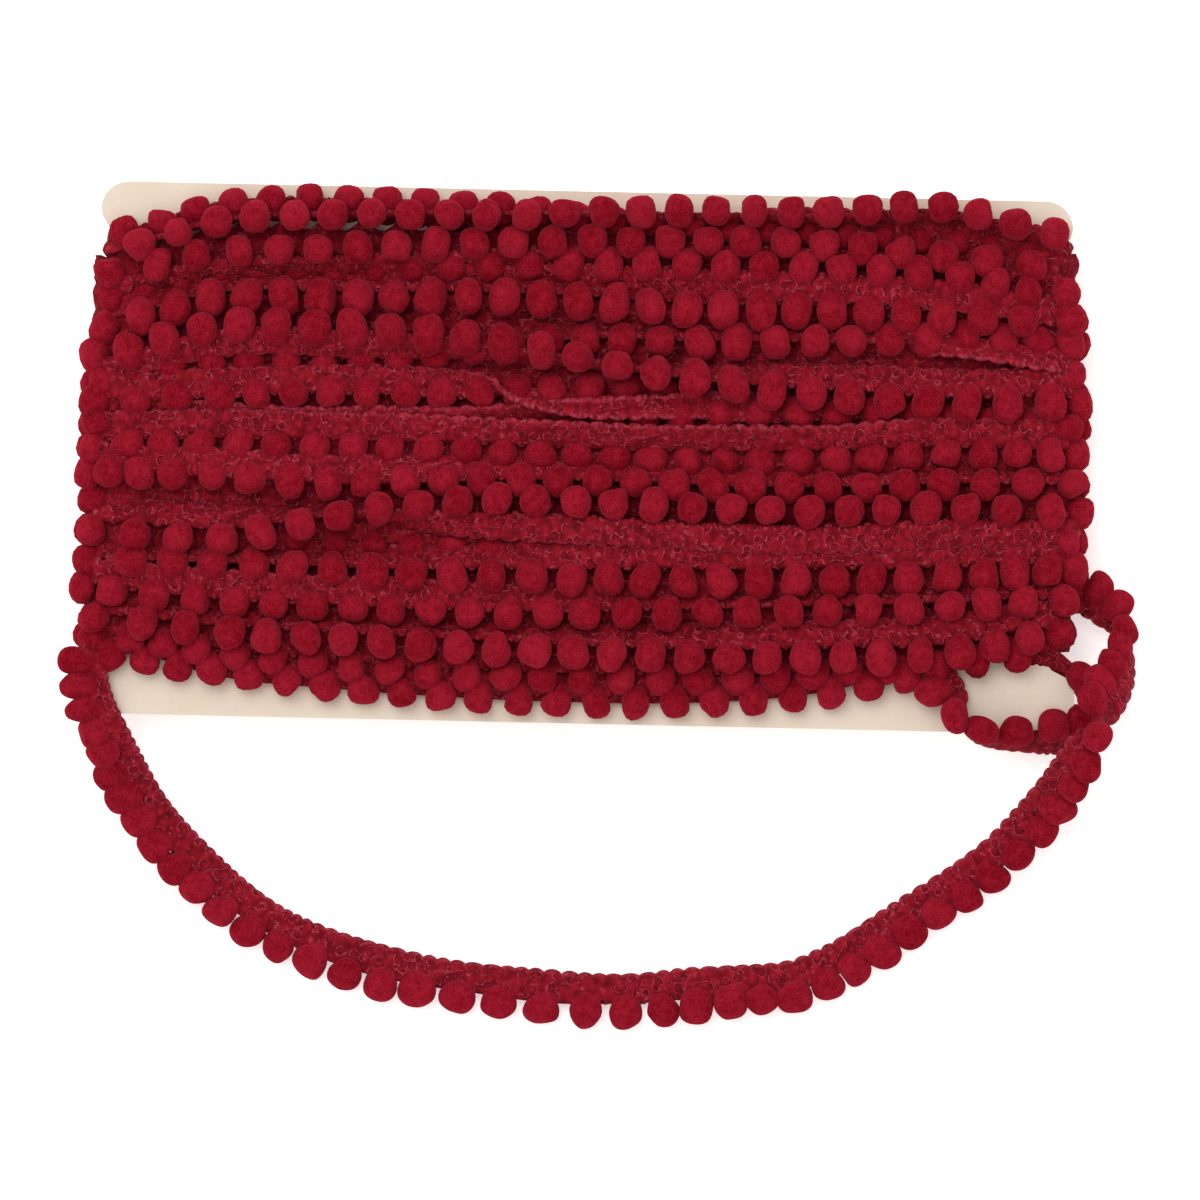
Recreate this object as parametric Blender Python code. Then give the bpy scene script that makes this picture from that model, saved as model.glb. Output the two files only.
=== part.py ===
"""Ball fringe trim wound lengthwise on a flat board card, with two loose loops.

Metres, +Z up.  The card lies flat, its length along X and its top edge towards +Y.
The origin is on the surface that the wound trim rests on, under the card's centre.
"""
import bpy
import bmesh
import numpy as np
from mathutils import Vector

MM = 0.001
GAP = 0.3 * MM                      # clearance between neighbouring pieces

# --- driving sizes -----------------------------------------------------------
CARD_TOP_HALF = 88.4 * MM           # half length across the two upper ears
CARD_BOTTOM_HALF = 90.4 * MM        # half length across the two lower ears
CARD_WAIST_HALF = 85.5 * MM         # half length where the trim goes round the ends
CARD_HALF_HEIGHT = 48.4 * MM
CARD_CORNER = 5.0 * MM
CARD_UPPER_FLANK = (37.0 * MM, 43.4 * MM)   # the upper ears grow out of the waist over this
CARD_LOWER_FLANK = (36.0 * MM, 39.4 * MM)   # the lower ears, further out and steeper
CARD_THICKNESS = 1.2 * MM

BAND_WIDTH = 4.6 * MM               # woven edge of the trim
BAND_THICKNESS = 1.6 * MM
BALL_PITCH = 7.0 * MM               # balls along the trim
BALL_RADIUS = 2.6 * MM
NECK_RADIUS = 0.8 * MM              # thread that links ball to ball in the comb
FRINGE_GAP = 0.6 * MM               # comb to band, wide enough to stay clear round the bends

BACK_DEPTH = 8.2 * MM               # wound trim behind the card
BACK_GROOVE = 1.0 * MM              # between the plain rows of the back
RIM_DEPTH = 1.0 * MM                # trim left at the upper and lower edge of the pack
RIM_ROUND = 3.6 * MM
FRONT_FLOOR = 1.4 * MM              # lowest trim between two rows of the front
END_START = 84.0 * MM               # where the turns start to bend round the ends

CARD_BACK = BACK_DEPTH + GAP
CARD_FACE = CARD_BACK + CARD_THICKNESS
SLOT_FLOOR = CARD_BACK - GAP
SLOT_ROOF = CARD_FACE + GAP

# Stations along X (mm) at which the tables below give their values.
STATIONS = (-88, -66, -44, -22, 0, 22, 44, 66, 88)

# Outline of the pack (mm): upper and lower edge at the stations.
PACK_TOP = (36.5, 46.6, 48.8, 48.8, 48.4, 48.4, 48.8, 48.8, 36.5)
PACK_BOTTOM = (-35.5, -43.4, -46.0, -47.4, -48.0, -47.8, -45.6, -38.6, -34.5)

# Rows of balls on the front (mm): name, height of the balls' centres over the card,
# and the line y of the balls at the stations.
FRONT_ROWS = (
    ("A", 2.8, (36.5, 44.6, 46.7, 46.2, 44.2, 43.0, 42.2, 41.2, 36.5)),
    ("B", 6.0, (34.0, 41.8, 43.6, 44.0, 44.2, 45.4, 46.2, 46.4, 38.0)),
    ("C", 4.2, (32.5, 35.8, 37.0, 38.3, 39.2, 39.8, 39.7, 37.6, 34.5)),
    ("D", 4.8, (26.0, 32.0, 32.9, 34.1, 34.9, 35.0, 35.0, 34.2, 31.5)),
    ("E", 5.2, (20.5, 27.6, 28.1, 28.8, 28.4, 27.3, 27.7, 27.2, 23.5)),
    ("F", 7.4, (14.5, 22.2, 21.8, 20.9, 17.7, 14.0, 12.3, 11.0, 10.5)),
    ("G", 4.6, (12.5, 16.4, 16.4, 19.0, 21.4, 21.0, 21.3, 21.8, 19.5)),
    ("I", 5.2, (8.0, 9.8, 11.0, 11.0, 11.2, 12.0, 12.6, 14.0, 14.5)),
    ("J1", 4.0, (3.5, 2.6, 1.8, 2.0, 4.2, 7.5, 8.0, 7.4, 6.5)),
    ("J2", 5.2, (1.0, 2.0, 1.3, 0.7, -0.2, -0.3, 0.2, 2.2, 2.5)),
    ("K", 5.2, (-6.0, -5.0, -5.9, -4.0, -4.0, -4.9, -4.7, -3.5, -3.5)),
    ("L", 7.0, (-15.5, -15.9, -12.0, -8.6, -8.0, -8.9, -8.8, -7.8, -10.2)),
    ("M", 3.4, (-13.0, -14.3, -16.4, -16.5, -16.5, -16.5, -15.5, -14.5, -14.5)),
    ("N", 5.8, (-21.5, -20.8, -21.2, -22.0, -22.0, -22.0, -21.4, -20.3, -20.3)),
    ("O", 6.0, (-27.0, -27.4, -28.1, -28.5, -28.4, -27.8, -27.0, -26.0, -24.8)),
    ("P", 6.2, (-32.0, -33.1, -33.9, -34.8, -35.3, -35.7, -35.5, -34.6, -30.8)),
    ("Q", 3.8, (-35.0, -38.8, -39.9, -40.2, -40.0, -40.0, -39.0, -36.5, -34.0)),
    ("R", 2.8, (-36.0, -41.0, -43.1, -44.2, -44.9, -44.9, -42.8, -38.0, -34.0)),
)

# Routes of the loose stretches: x, y, z of the band's middle (mm) and the turn of the
# balls round it (degrees: 0 outwards and flat, 90 straight up, 180 inwards and flat).
BIG_LOOP = (
    (-88.1, -38.6, 12.8, 8),
    (-87.7, -43.0, 12.4, 8),
    (-86.3, -47.6, 11.9, 8),
    (-84.3, -51.9, 10.4, 8),
    (-81.2, -58.0, 7.2, 10),
    (-77.0, -64.9, 4.2, 12),
    (-70.6, -72.6, 2.2, 15),
    (-62.8, -80.6, 1.6, 15),
    (-53.8, -86.7, 1.5, 15),
    (-42.2, -91.2, 1.5, 15),
    (-28.4, -94.1, 1.5, 15),
    (-14.1, -95.9, 1.5, 15),
    (0.0, -97.0, 1.5, 15),
    (12.0, -96.8, 1.5, 16),
    (21.0, -95.8, 1.7, 20),
    (30.0, -95.0, 2.0, 26),
    (39.8, -93.9, 1.8, 20),
    (46.5, -91.3, 1.5, 15),
    (53.0, -87.6, 1.5, 15),
    (62.1, -81.3, 1.7, 15),
    (71.5, -74.6, 2.8, 12),
    (77.7, -69.7, 4.6, 10),
    (82.5, -64.4, 5.4, 10),
    (86.3, -58.8, 10.2, 10),
    (88.9, -54.4, 14.4, 14),
    (91.2, -50.4, 17.2, 34),
    (94.3, -46.5, 18.0, 80),
    (97.8, -42.6, 16.0, 118),
    (99.9, -38.2, 11.6, 116),
    (100.5, -33.6, 7.0, 110),
    (100.2, -29.8, 5.6, 92),
    (98.5, -26.4, 5.0, 58),
    (95.6, -24.4, 5.0, 24),
)
SMALL_LOOP = (
    (68.4, -41.9, 12.6, 30),
    (69.2, -44.2, 13.0, 60),
    (70.6, -47.0, 13.0, 90),
    (73.2, -49.3, 12.2, 104),
    (77.0, -50.3, 10.0, 108),
    (81.5, -50.5, 8.6, 110),
    (86.0, -50.5, 8.4, 112),
    (90.4, -50.7, 6.8, 112),
    (93.8, -49.3, 5.8, 110),
    (95.4, -45.8, 5.2, 110),
    (94.6, -42.4, 6.4, 106),
    (93.0, -39.6, 8.4, 92),
)
BAND_STEP = 5.0 * MM                # spacing of the band's points
ROUTE_SAMPLES = 24                  # dense samples between two route points


# --- helpers -----------------------------------------------------------------
def clear_scene():
    """Remove every object that the scene starts with."""
    for item in list(bpy.data.objects):
        bpy.data.objects.remove(item, do_unlink=True)


def make_material(name, colour, roughness):
    """Principled material with a base colour and a roughness; nothing here is metal."""
    material = bpy.data.materials.new(name)
    material.use_nodes = True
    shader = material.node_tree.nodes["Principled BSDF"]
    shader.inputs["Base Color"].default_value = (*colour, 1.0)
    shader.inputs["Roughness"].default_value = roughness
    shader.inputs["Metallic"].default_value = 0.0
    return material


def add_object(name, data, material, collection):
    """Put mesh or curve data in the collection as one named object."""
    item = bpy.data.objects.new(name, data)
    data.materials.append(material)
    collection.objects.link(item)
    return item


def through(knots, values, at):
    """Smooth (Catmull-Rom) curve through values at knots, read at the places at."""
    knots = np.asarray(knots, float)
    values = np.asarray(values, float)
    at = np.asarray(at, float)
    slopes = np.gradient(values, knots, axis=0)
    left = np.clip(np.searchsorted(knots, at, side="right") - 1, 0, len(knots) - 2)
    width = knots[left + 1] - knots[left]
    t = np.clip((at - knots[left]) / width, 0.0, 1.0)
    if values.ndim == 2:
        t, width = t[:, None], width[:, None]
    return ((2 * t**3 - 3 * t**2 + 1) * values[left] + (t**3 - 2 * t**2 + t) * width * slopes[left]
            + (3 * t**2 - 2 * t**3) * values[left + 1] + (t**3 - t**2) * width * slopes[left + 1])


# --- card --------------------------------------------------------------------
def card_half_length(y):
    """Half length of the card at y: ears at both ends of the edge, a waist between."""
    ear = np.where(y > 0, CARD_TOP_HALF, CARD_BOTTOM_HALF)
    start = np.where(y > 0, CARD_UPPER_FLANK[0], CARD_LOWER_FLANK[0])
    end = np.where(y > 0, CARD_UPPER_FLANK[1], CARD_LOWER_FLANK[1])
    rise = np.clip((np.abs(y) - start) / (end - start), 0.0, 1.0)
    half = CARD_WAIST_HALF + (ear - CARD_WAIST_HALF) * (0.5 - 0.5 * np.cos(np.pi * rise))
    into_corner = np.clip((np.abs(y) - CARD_HALF_HEIGHT + CARD_CORNER) / CARD_CORNER, 0.0, 1.0)
    return half - CARD_CORNER * (1.0 - np.sqrt(1.0 - into_corner**2))


def build_card(collection, material):
    """Flat board: a filled 2D outline with an extrude of half its thickness."""
    turn = np.radians(np.linspace(0, 90, 7))
    corner = CARD_HALF_HEIGHT - CARD_CORNER + CARD_CORNER * np.sin(turn)
    upper = np.concatenate([np.linspace(*CARD_UPPER_FLANK, 5)[:-1], corner])
    lower = np.concatenate([np.linspace(*CARD_LOWER_FLANK, 5), corner])
    y = np.concatenate([-lower[::-1], upper])
    x = card_half_length(y)
    outline = np.concatenate([np.stack([x, y], 1), np.stack([-x[::-1], y[::-1]], 1)])
    curve = bpy.data.curves.new("card", "CURVE")
    curve.dimensions = "2D"
    curve.fill_mode = "BOTH"
    curve.extrude = CARD_THICKNESS / 2
    spline = curve.splines.new("POLY")
    spline.points.add(len(outline) - 1)
    for point, (px, py) in zip(spline.points, outline):
        point.co = (px, py, 0.0, 1.0)
    spline.use_cyclic_u = True
    card = add_object("card", curve, material, collection)
    card.location.z = CARD_BACK + CARD_THICKNESS / 2
    return card


# --- wound trim --------------------------------------------------------------
def front_height(x, y):
    """Height of the wound front over the slot's roof: a round ridge along every row."""
    height = np.full_like(x, FRONT_FLOOR)
    for _name, level, line in FRONT_ROWS:
        row_y = through(STATIONS, line, x / MM) * MM
        across = np.clip(1.0 - ((y - row_y) / (1.25 * BALL_RADIUS))**2, 0.0, 1.0)
        ridge = (level * MM - GAP + BALL_RADIUS * np.sqrt(across)) * (across > 0)
        height = np.maximum(height, ridge)
    slimmer = np.clip((np.abs(x) - 66 * MM) / (END_START - 66 * MM), 0.0, 1.0)
    return height * (1.0 - 0.25 * slimmer)


def wound_sections():
    """Rings of the wound body: outer and inner points, station by station, line by line.

    A station is a place along the turn: the front from left to right, the right end,
    the back from right to left, the left end.  A line runs with the rows, and there
    are four lines to a row of the back, three flat on the surface and one in a groove.
    """
    lines = np.arange(53)
    share = lines / lines[-1]
    front_x = np.linspace(-END_START, END_START, 24)
    back_x = np.linspace(END_START, -END_START, 14)
    bend = np.radians((60, 30, 0, -30, -60))
    outer, inner = [], []

    def edge_lines(x):
        low = through(STATIONS, PACK_BOTTOM, [x / MM])[0] * MM
        high = through(STATIONS, PACK_TOP, [x / MM])[0] * MM
        y = low + share * (high - low)
        from_edge = np.minimum(y - low, high - y)
        rounding = np.sqrt(1.0 - (1.0 - np.clip(from_edge / RIM_ROUND, 0.0, 1.0))**2)
        return y, rounding

    def front_z(x, y, rounding):
        return SLOT_ROOF + RIM_DEPTH + (front_height(x, y) - RIM_DEPTH) * rounding

    def back_z(rounding):
        groove = np.where(lines % 4 == 0, BACK_GROOVE, 0.0)
        return (SLOT_FLOOR - RIM_DEPTH) * (1.0 - rounding) + groove * (rounding == 1.0)

    for x in front_x:
        y, rounding = edge_lines(x)
        column = np.full_like(y, x)
        outer.append(np.stack([column, y, front_z(column, y, rounding)], 1))
        inner.append(np.stack([column, y, np.full_like(y, SLOT_ROOF)], 1))
    for side, turn in ((1, bend), (-1, bend[::-1])):
        if side < 0:
            for x in back_x:
                y, rounding = edge_lines(x)
                column = np.full_like(y, x)
                outer.append(np.stack([column, y, back_z(rounding)], 1))
                inner.append(np.stack([column, y, np.full_like(y, SLOT_FLOOR)], 1))
        y, rounding = edge_lines(side * 88 * MM)
        start = np.full_like(y, side * END_START)
        top = front_z(start, y, rounding)
        bottom = back_z(rounding)
        middle = (SLOT_ROOF + SLOT_FLOOR) / 2
        reach = 5.0 * MM + 0.45 * front_height(start, y)
        for angle in turn:
            x = side * (END_START + reach * np.cos(angle) * (0.35 + 0.65 * rounding))
            x = side * np.maximum(np.abs(x), CARD_WAIST_HALF + GAP + RIM_DEPTH)
            away = np.where(np.sin(angle) > 0, top - middle, middle - bottom)
            outer.append(np.stack([x, y, middle + away * np.sin(angle)], 1))
            wall = np.full_like(y, side * (CARD_WAIST_HALF + GAP))
            level = middle + (SLOT_ROOF - middle) * np.clip(np.degrees(angle) / 60, -1.0, 1.0)
            inner.append(np.stack([wall, y, np.full_like(y, level)], 1))
    return np.array(outer), np.array(inner)


def build_wound_trim(collection, material):
    """Loft the rings into one closed body with the card's slot left open through it."""
    outer, inner = wound_sections()
    stations, lines, _ = outer.shape
    first, last = inner[:, 0], inner[:, -1]
    points = np.concatenate([outer.reshape(-1, 3), first, last])
    faces = []

    def at(station, line):
        return (station % stations) * lines + line

    slot_low = stations * lines
    slot_high = slot_low + stations
    for station in range(stations):
        after = (station + 1) % stations
        for line in range(lines - 1):
            faces.append((at(station, line), at(after, line), at(after, line + 1), at(station, line + 1)))
        faces.append((at(station, lines - 1), at(after, lines - 1), slot_high + after, slot_high + station))
        faces.append((slot_high + station, slot_high + after, slot_low + after, slot_low + station))
        faces.append((slot_low + station, slot_low + after, at(after, 0), at(station, 0)))
    mesh = bpy.data.meshes.new("wound_trim")
    mesh.from_pydata(points.tolist(), [], faces)
    cage = bmesh.new()
    cage.from_mesh(mesh)
    bmesh.ops.triangulate(cage, faces=cage.faces)
    bmesh.ops.recalc_face_normals(cage, faces=cage.faces)
    cage.to_mesh(mesh)
    cage.free()
    return add_object("wound_trim", mesh, material, collection)


# --- loose stretches ---------------------------------------------------------
def walk(route, places):
    """Points, outward side, upward side and turn of a route at lengths along its line."""
    table = np.array(route, float)
    knots = np.arange(len(table))
    dense = np.linspace(0, knots[-1], knots[-1] * ROUTE_SAMPLES + 1)
    line = through(knots, table[:, :3], dense) * MM
    turn = np.radians(through(knots, table[:, 3], dense))
    length = np.concatenate([[0.0], np.cumsum(np.linalg.norm(np.diff(line, axis=0), axis=1))])
    places = np.asarray(places) if places is not None else length[-1:]
    point = np.stack([np.interp(places, length, line[:, k]) for k in range(3)], 1)
    ahead = np.stack([np.interp(places, length, np.gradient(line[:, k])) for k in range(3)], 1)
    ahead /= np.linalg.norm(ahead, axis=1)[:, None]
    outward = np.cross(ahead, (0.0, 0.0, 1.0))
    outward /= np.linalg.norm(outward, axis=1)[:, None]
    upward = np.cross(outward, ahead)
    return point, outward, upward, np.interp(places, length, turn), length[-1]


def flat_section(collection):
    """Guide for the band's cross-section: a flat oval of eight points."""
    guide = bpy.data.curves.new("band_section", "CURVE")
    guide.dimensions = "2D"
    guide.fill_mode = "NONE"
    spline = guide.splines.new("POLY")
    half_width, half_thick = BAND_WIDTH / 2, BAND_THICKNESS / 2
    corners = ((1, -0.5), (0.72, -1), (-0.72, -1), (-1, -0.5), (-1, 0.5), (-0.72, 1), (0.72, 1), (1, 0.5))
    spline.points.add(len(corners) - 1)
    for point, (across, thick) in zip(spline.points, corners):
        point.co = (across * half_width, thick * half_thick, 0.0, 1.0)
    spline.use_cyclic_u = True
    section = bpy.data.objects.new("band_section", guide)
    section.hide_render = True
    section.display_type = "WIRE"
    collection.objects.link(section)
    return section


def build_band(name, route, section, collection, material):
    """Flat band: the oval section carried along the route and tilted with its turn."""
    length = walk(route, None)[4]
    count = int(round(length / BAND_STEP)) + 1
    point, _outward, _upward, turn, _ = walk(route, np.linspace(0, length, count))
    curve = bpy.data.curves.new(name, "CURVE")
    curve.dimensions = "3D"
    curve.twist_mode = "Z_UP"
    curve.bevel_mode = "OBJECT"
    curve.bevel_object = section
    curve.use_fill_caps = True
    spline = curve.splines.new("POLY")
    spline.points.add(count - 1)
    for knot, place, angle in zip(spline.points, point, turn):
        knot.co = (*place, 1.0)
        knot.tilt = -angle
    return add_object(name, curve, material, collection)


def build_comb(name, route, collection, material):
    """Fringe of balls beside the band: one string of beads, a clearance off its edge."""
    length = walk(route, None)[4]
    balls = int(length / BALL_PITCH)
    start = (length - balls * BALL_PITCH) / 2
    steps = np.array([0.0, 0.28, 0.72])
    places = np.concatenate([start + (k + steps) * BALL_PITCH for k in range(balls)]
                            + [[start + balls * BALL_PITCH]])
    sizes = np.array([NECK_RADIUS, BALL_RADIUS, BALL_RADIUS] * balls + [NECK_RADIUS])
    point, outward, upward, turn, _ = walk(route, places)
    reach = BAND_WIDTH / 2 + FRINGE_GAP + BALL_RADIUS
    centre = point + reach * (np.cos(turn)[:, None] * outward + np.sin(turn)[:, None] * upward)
    curve = bpy.data.curves.new(name, "CURVE")
    curve.dimensions = "3D"
    curve.bevel_depth = BALL_RADIUS
    curve.bevel_resolution = 2
    curve.use_fill_caps = True
    spline = curve.splines.new("POLY")
    spline.points.add(len(places) - 1)
    for knot, place, size in zip(spline.points, centre, sizes):
        knot.co = (*place, 1.0)
        knot.radius = size / BALL_RADIUS
    return add_object(name, curve, material, collection)


def main():
    clear_scene()
    parts = bpy.data.collections.new("ball_fringe_trim")
    guides = bpy.data.collections.new("guides")
    for collection in (parts, guides):
        bpy.context.scene.collection.children.link(collection)
    board = make_material("ivory_board", (0.84, 0.76, 0.66), 0.75)
    crimson = make_material("crimson_trim", (0.28, 0.010, 0.022), 0.95)
    build_card(parts, board)
    build_wound_trim(parts, crimson)
    section = flat_section(guides)
    for name, route in (("loose", BIG_LOOP), ("small_loop", SMALL_LOOP)):
        build_band(name + "_band", route, section, parts, crimson)
        build_comb(name + "_balls", route, parts, crimson)


main()
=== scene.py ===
# %% [markdown]
# # Ball fringe trim wound on a board card
# The real thing is a narrow knitted band with a row of soft balls along one edge, wound
# lengthwise round a flat card, with two loose loops hanging below.  Everything is placed
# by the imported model, which is loaded first and is never moved.  Lengths are worked out
# in millimetres and turned to metres when a mesh is made, because thread and stitch
# sizes are easier to read that way.

import bpy
import numpy as np
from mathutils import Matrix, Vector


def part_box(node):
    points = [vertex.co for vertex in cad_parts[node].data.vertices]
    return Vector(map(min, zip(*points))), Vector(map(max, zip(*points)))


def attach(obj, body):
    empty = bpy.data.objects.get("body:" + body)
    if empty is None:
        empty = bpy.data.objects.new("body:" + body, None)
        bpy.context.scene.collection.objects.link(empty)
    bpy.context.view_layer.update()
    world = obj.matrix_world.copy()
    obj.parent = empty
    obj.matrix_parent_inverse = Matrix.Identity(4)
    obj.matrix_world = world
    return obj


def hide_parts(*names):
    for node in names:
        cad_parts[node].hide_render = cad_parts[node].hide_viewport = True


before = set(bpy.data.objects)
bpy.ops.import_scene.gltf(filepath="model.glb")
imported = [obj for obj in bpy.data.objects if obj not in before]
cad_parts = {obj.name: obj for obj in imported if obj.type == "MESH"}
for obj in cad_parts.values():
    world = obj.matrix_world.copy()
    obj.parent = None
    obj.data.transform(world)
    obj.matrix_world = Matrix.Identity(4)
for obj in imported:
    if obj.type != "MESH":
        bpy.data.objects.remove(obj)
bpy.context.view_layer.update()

MM = 0.001

# %% [markdown]
# ## Helpers
# A drape or a winding is a line in space that something is carried along.  A few measured
# places with a smooth curve through them are enough, because limp trim bends gently.
# Meshes are filled from whole arrays, which is both short and fast.

# %% Smooth lines through measured places
def smooth_through(knots, values, at):
    """Cubic curve through values at knots, read at the places at.  Between two knots it
    is the Hermite cubic whose slopes are those of the neighbouring values."""
    knots, values, at = (np.asarray(a, float) for a in (knots, values, at))
    slopes = np.gradient(values, knots, axis=0)
    left = np.clip(np.searchsorted(knots, at, side="right") - 1, 0, len(knots) - 2)
    width = knots[left + 1] - knots[left]
    t = np.clip((at - knots[left]) / width, 0.0, 1.0)
    if values.ndim == 2:
        t, width = t[:, None], width[:, None]
    return ((2 * t**3 - 3 * t**2 + 1) * values[left] + (t**3 - 2 * t**2 + t) * width * slopes[left]
            + (3 * t**2 - 2 * t**3) * values[left + 1] + (t**3 - t**2) * width * slopes[left + 1])


def unit(vectors):
    """Each vector divided by its own length."""
    return vectors / np.maximum(np.linalg.norm(vectors, axis=-1, keepdims=True), 1e-9)


def run_length(line):
    """Length travelled along a line of points, from 0 at its first point."""
    return np.concatenate([[0.0], np.cumsum(np.linalg.norm(np.diff(line, axis=0), axis=1))])


def squared(values, power):
    """Values raised to a power with their signs kept: below 1, a circle turns squarer."""
    return np.sign(values) * np.abs(values) ** power


# %% Put arrays into a mesh
def new_object(name, data):
    """An object with this data, in the scene."""
    thing = bpy.data.objects.new(name, data)
    bpy.context.scene.collection.objects.link(thing)
    return thing


def add_piece(name, points_mm, quads, material, caps=(), attributes=None, uv=None):
    """One smooth-shaded piece from an array of points and an array of four-sided faces.
    caps are further faces with any number of corners, attributes hold one number for each
    point, and uv one pair."""
    mesh = bpy.data.meshes.new(name)
    corners = np.concatenate([quads.ravel(), *caps])
    sizes = np.concatenate([np.full(len(quads), 4), [len(cap) for cap in caps]]).astype(int)
    mesh.vertices.add(len(points_mm))
    mesh.loops.add(len(corners))
    mesh.polygons.add(len(sizes))
    mesh.vertices.foreach_set("co", (points_mm * MM).astype(np.float32).ravel())
    mesh.polygons.foreach_set("loop_start", np.concatenate([[0], np.cumsum(sizes)[:-1]]).astype(np.int32))
    mesh.polygons.foreach_set("vertices", corners.astype(np.int32))
    mesh.polygons.foreach_set("use_smooth", np.ones(len(sizes), bool))
    if uv is not None:
        mesh.uv_layers.new(name="stitches").uv.foreach_set("vector", uv[corners].astype(np.float32).ravel())
    for label, values in (attributes or {}).items():
        mesh.attributes.new(label, "FLOAT", "POINT").data.foreach_set("value", values.astype(np.float32))
    mesh.update(calc_edges=True)
    mesh.validate()
    mesh.materials.append(material)
    piece = new_object(name, mesh)
    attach(piece, "root")
    print(f"{name}: {len(points_mm)} points, {len(sizes)} faces")
    return piece

# %% [markdown]
# ## Camera
# The trim is looked at from straight above, as it lies on a table, with the card turned a
# little clockwise in the frame.  A long lens from far off keeps the rows parallel, so the
# top of the pile and the table share almost one scale.

# %% Camera over the card
CARD_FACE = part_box("card")[1].z / MM  # upper face of the board
CARD_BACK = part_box("card")[0].z / MM
VIEW_CENTRE = np.array([3.84, -25.83])  # what the lens points at, mm from the card's centre
VIEW_WIDTH = 218.2  # width of the view at the card's face, mm
VIEW_TURN = np.radians(1.26)  # the lens's turn about the vertical
DISTANCE = 1200.0  # from the card's face to the lens, mm

lens = bpy.data.cameras.new("overhead")
lens.sensor_width = 36.0
lens.lens = 36.0 * DISTANCE / VIEW_WIDTH
lens.clip_start, lens.clip_end = 0.05, 10.0
camera = new_object("overhead", lens)
camera.location = (*(VIEW_CENTRE * MM), (CARD_FACE + DISTANCE) * MM)
camera.rotation_euler = (0.0, 0.0, VIEW_TURN)
bpy.context.scene.camera = camera
print("lens, mm:", round(lens.lens, 1))

# %% [markdown]
# ## Finishes
# Everything red is one dyed yarn in three states: cut into a pile on the balls, knitted in
# the band, and twisted where a ball is tied on.  They differ in how they take light, so
# each is a material of its own.  Colours are given as the hex codes of a paint chart and
# turned to linear light, and every pattern is scaled from a size in millimetres.

# %% Colours and nodes
def linear(code):
    """A hex colour as linear red, green, blue and alpha."""
    share = np.array([int(code[i:i + 2], 16) for i in (1, 3, 5)]) / 255
    return (*np.where(share <= 0.04045, share / 12.92, ((share + 0.055) / 1.055) ** 2.4).tolist(), 1.0)


def new_material(name, settings):
    """A material with these constants on its Principled shader, and its tree of nodes."""
    material = bpy.data.materials.new(name)
    material.use_nodes = True
    for key, value in settings.items():
        material.node_tree.nodes["Principled BSDF"].inputs[key].default_value = value
    return material, material.node_tree


def add_node(tree, kind, settings, out=0):
    """Adds a node and gives its output.  Settings are options of the node, values of its
    inputs, or outputs of other nodes that lead into an input."""
    node = tree.nodes.new("ShaderNode" + kind)
    for key, value in settings.items():
        if isinstance(value, bpy.types.NodeSocket):
            tree.links.new(value, node.inputs[key])
        elif isinstance(key, str) and hasattr(node, key):
            setattr(node, key, value)
        else:
            node.inputs[key].default_value = value
    return node.outputs[out]


def add_noise(tree, place, scale, detail, **settings):
    """A noise read at a place, with scale features to each unit of length."""
    return add_node(tree, "TexNoise", {"Vector": place, "Scale": scale, "Detail": detail, **settings})


def add_sum(tree, value, factor, other):
    """value * factor + other."""
    return add_node(tree, "Math", {"operation": "MULTIPLY_ADD", 0: value, 1: factor, 2: other})


def add_range(tree, value, *ends):
    """A value taken from the range between the first two ends to that between the last two,
    or to 0 ... 1 without them, and kept inside it."""
    return add_node(tree, "MapRange", dict(enumerate((value, *ends))))


def add_ramp(tree, value, *stops):
    """The shade for a value, between two stops of a position and a hex colour."""
    shade = add_node(tree, "ValToRGB", {0: value})
    for stop, (position, code) in zip(shade.node.color_ramp.elements, stops):
        stop.position, stop.color = position, linear(code)
    return shade


def add_surface(tree, colour, height, strength, depth):
    """Leads a colour, and the relief of a height with this depth in mm, to the shader."""
    relief = add_node(tree, "Bump", {"Height": height, "Strength": strength, "Distance": depth * MM})
    shader = tree.nodes["Principled BSDF"]
    tree.links.new(colour, shader.inputs["Base Color"])
    tree.links.new(relief, shader.inputs["Normal"])


def repeats(size_mm):
    """Texture scale, per metre, at which a pattern's features are about size_mm across."""
    return 1.0 / (size_mm * MM)

# %% [markdown]
# The balls are viscose yarn, cut to a dense pile and rolled.  Cut pile is matt and soft: it
# scatters light in every direction, its tufts shade each other, and only the fibre ends at
# the rim catch a faint sheen.  Single fibres would cost millions of faces, so tufts of
# 0.36 mm and clumps of 1.6 mm are drawn by two noises, in colour and in relief.

# %% Cut viscose pile of the balls
pile, tree = new_material("crimson cut viscose pile", {
    "Roughness": 1.0, "Specular IOR Level": 0.0, "Sheen Weight": 0.7, "Sheen Roughness": 0.35,
    "Sheen Tint": linear("#c24658")})
place = add_node(tree, "TexCoord", {}, "Object")
tone = add_node(tree, "Attribute", {"attribute_name": "tone"}, "Fac")
tufts = add_noise(tree, place, repeats(0.36), 2.0, Roughness=0.6)
clumps = add_noise(tree, place, repeats(1.6), 2.0)
mixed = add_sum(tree, clumps, 0.4, add_sum(tree, tufts, 0.7, tone))
shades = add_ramp(tree, mixed, (0.4, "#780a17"), (0.72, "#a31f32"))
add_surface(tree, shades, add_sum(tree, clumps, 0.8, tufts), strength=0.8, depth=0.35)
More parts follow.
